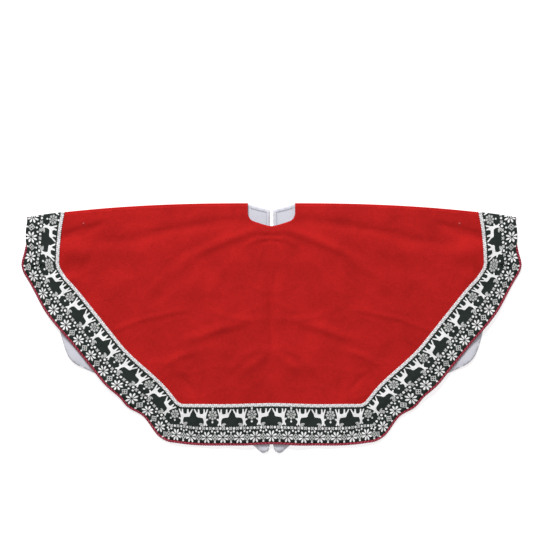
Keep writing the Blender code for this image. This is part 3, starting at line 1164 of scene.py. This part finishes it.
def flat_route(outline, inset, d, tucked_in, start_length=0.0):
    """A trim's route on the front or a flap, from the fold outwards; by the fold it may be tucked in."""
    path = walked(hem_path(outline, inset), 0.0014)[::-1]
    place = on_front if outline is FRONT else on_flap
    up = UP if outline is FRONT else -UP
    depth = d - tucked_in * (1 - smooth((path[0, 1] - path[:, 1]) / 0.025))
    route = Route(place(*path.T, depth), up, start_length)
    if outline is FRONT:
        route.pressed = 1 - smooth(route.length / 0.05)
    return route


def turn_route(inset, flap_inset, d):
    """A trim's route round the end of the fold, from the front to the flap."""
    xs = end_x(FRONT, inset) * (1 - TURN_TS) + end_x(FLAP, flap_inset) * TURN_TS
    angles = turn_angle(TURN_TS, d)
    up = np.column_stack([np.zeros(len(angles)), np.sin(angles), np.cos(angles)])
    return Route(on_turn(xs, TURN_TS, d), up)


def plaited(route, way):
    """Three flat strands of a braid; way is the direction of the plait from the fold."""
    strands = []
    for k in range(3):
        phase = way * 2 * math.pi * route.length / BRAID_PITCH + 2 * math.pi * k / 3
        sideways = BRAID_WIDTH * 0.26 * np.sin(phase)
        height = 0.0005 * np.sin(2 * phase)
        centre = route.centre + route.across * sideways[:, None] + route.up * height[:, None]
        strands.append(tube(centre, route.across, route.up, STRAND_HALF, 0.00085))
    return strands


BRAID_PITCH = 0.015
STRAND_HALF = 0.0019
BRAID_OVERLAP = 0.001  # the braid lies this far over the band's edge
CORD_PITCH = 0.0085
PLY_R = 0.002
CORD_TUCKED = 0.0018  # at the ends of the fold the cord goes this far inside it
CORD_SUNK = 0.0007
CORD_FLATTENED = 0.45
CORD_BACK = 0.0022  # on the flaps the cord lies this much further in, under the lining


def twisted(route, way):
    """Two plies of a twisted cord; where it is pressed it is flatter and lies deeper."""
    plies = []
    sunk = route.centre + route.up * (CORD_SUNK * route.pressed)[:, None]
    ply_up = route.up * (1 - CORD_FLATTENED * route.pressed)[:, None]
    for k in range(2):
        phase = way * 2 * math.pi * route.length / CORD_PITCH + math.pi * k
        offset = route.across * np.cos(phase)[:, None] + ply_up * (0.75 * np.sin(phase))[:, None]
        plies.append(tube(sunk + offset * (PLY_R * 0.72), route.across, ply_up, PLY_R * 1.1, PLY_R * 0.8, 6))
    return plies


def make_trim(kind, insets, d, tucked_in, strands_of, strand_materials, group_of):
    """Braid or cord on the front, round the folds and on the flaps, each strand group its own piece."""
    turn = turn_route(*insets, d - tucked_in)
    runs = (
        ("front_" + kind, "front", "front_" + kind, flat_route(FRONT, insets[0], d, tucked_in), -1),
        ("{}_fold_" + kind, "fold", None, turn, 1),
        ("{}_flap_" + kind, "{}_flap", "{}_flap_" + kind,
         flat_route(FLAP, insets[1], d, tucked_in, turn.length[-1]), 1),
    )
    for name, body, node, route, way in runs:
        strands = strands_of(route, way)
        for group, (suffix, material) in enumerate(strand_materials):
            shape = joined([strand for strand, of_group in zip(strands, group_of) if of_group == group])
            if body == "front":
                shape = both_sides(*shape)
            add_parts(name + suffix, shape, material, body, node)


# ---- tacks

TACK_FROM_END = 0.141
TACK_FROM_FOLD = 0.02
TACK_HALF = 0.0021


def make_tacks(material):
    """A small knot of thread near each end of the fold."""
    end = np.array([FOLD_END, FOLD_BACK - FOLD_DROOP])
    spot = end + TACK_FROM_END * np.array([-math.cos(FOLD_ANGLE), math.sin(FOLD_ANGLE)]) - (0, TACK_FROM_FOLD)
    loops = []
    for angle in (0.4, 1.9, 3.0):
        t = np.linspace(-1, 1, 9)
        flat = spot + TACK_HALF * np.outer(t, (math.cos(angle), math.sin(angle)))
        centre = on_front(*flat.T, SHELL_THICK / 2) + np.outer(0.0009 * (1 - t ** 2), UP)
        loops.append(tube(centre, Route(centre, UP).across, UP, 0.0007, 0.0006, 6))
    add_parts("{}_thread_tack", joined(loops), material, "front", "{}_tack")


# ---- stitches

STITCH_PITCH = 0.0034
STITCH_LENGTH = 0.0026
STITCH_R = 0.00042


def stitch_row(path, d):
    """A row of short stitches along a flat path, lying on the flap's upper side."""
    reached = distances(path)
    stitches = []
    for start in np.arange(0, reached[-1] - STITCH_LENGTH, STITCH_PITCH):
        at = start + STITCH_LENGTH * np.linspace(0, 1, 5)
        centre = on_flap(*[np.interp(at, reached, column) for column in np.transpose(path)], d)
        centre[:, 2] += STITCH_R * np.array((-0.9, 0.3, 0.6, 0.3, -0.9))
        stitches.append(tube(centre, Route(centre, UP).across, UP, STITCH_R, STITCH_R, 6))
    return joined(stitches)


def make_stitches(material):
    """The row of stitches inside the neck and slit edges, on the lining's side of each flap."""
    ys, xs = hem_places(0.03, 0.004, 0.003)
    path = [(slit_x(y) + HEM_ALLOWANCE, y) for y in ys] + [(x, flap_neck_y(x) - HEM_ALLOWANCE) for x in xs]
    shape = stitch_row(path, LINING_D - LINING_THICK / 2 - STITCH_R * 0.4)
    add_parts("{}_hem_stitches", shape, material, "{}_flap")


# ---- scene

KEY_LIGHT = (-1.1, 5.2, 3.8)  # it looks at the origin
KEY_SIZE = 2.0
KEY_POWER = 405.0
WORLD_LIGHT = 0.4
FLOOR_RADIUS = 17.0
FLOOR_GLOW = 0.55  # the floor is lit from below, like a light table


def make_floor():
    material, _, shader = new_material("white_floor")
    set_inputs(shader, {"Base Color": (0.93, 0.93, 0.93, 1.0), "Roughness": 0.9, "Specular IOR Level": 0.1,
                        "Emission Color": (1.0, 1.0, 1.0, 1.0), "Emission Strength": FLOOR_GLOW})
    corners = [(x, y, -0.0004) for x, y in ring_of(4, FLOOR_RADIUS, math.pi / 4)]
    add_piece("floor", corners, [(0, 1, 2, 3)], material, smooth_faces=False)


def make_lights():
    world = bpy.data.worlds.new("studio")
    bpy.context.scene.world = world
    world.use_nodes = True
    set_inputs(world.node_tree.nodes["Background"], {"Color": (1.0, 1.0, 1.0, 1.0), "Strength": WORLD_LIGHT})
    data = bpy.data.lights.new("key", "AREA")
    data.shape = "DISK"
    data.size = KEY_SIZE
    data.energy = KEY_POWER
    lamp = into_scene(bpy.data.objects.new("key", data))
    lamp.location = KEY_LIGHT
    lamp.rotation_euler = (-Vector(KEY_LIGHT)).to_track_quat("-Z", "Y").to_euler()


VIEW_WIDTH = 1.309  # of the floor, across the picture
LENS = 85.0
SENSOR = 36.0
VIEW_POINT = (-0.0036, CENTRE_Y - 0.1418)


def make_camera():
    data = bpy.data.cameras.new("camera")
    data.lens = LENS
    data.sensor_width = SENSOR
    camera = into_scene(bpy.data.objects.new("camera", data))
    camera.location = (*VIEW_POINT, FRONT_Z + VIEW_WIDTH * LENS / SENSOR)
    bpy.context.scene.camera = camera


def main():
    bpy.context.scene.view_settings.view_transform = "Standard"
    make_camera()
    make_floor()
    make_lights()
    materials = make_materials()
    make_cloth("shell", materials["red"], SHELL_D, SHELL_THICK, CORD_WIDTH * 0.6)
    make_cloth("lining", materials["lining"], LINING_D, LINING_THICK, 0.0008)
    make_flat_band(materials)
    make_turn_band(materials)
    over_band = BAND_IN + BRAID_WIDTH / 2 - BRAID_OVERLAP
    make_trim("braid", (over_band, over_band), BRAID_D, 0.0, plaited,
              (("", materials["braid"]), ("_silver", materials["braid_silver"])), (0, 0, 1))
    # The cord's second ply takes the darker copy of its crimson, painted shade for the dark dashes between
    # the twists
    make_trim("cord", (CORD_WIDTH / 2, CORD_WIDTH / 2 + CORD_BACK), CORD_D, CORD_TUCKED,
              twisted, (("", materials["cord"]), ("_dark", materials["cord_dark"])), (0, 1))
    make_tacks(materials["tack"])
    make_stitches(materials["thread"])


main()
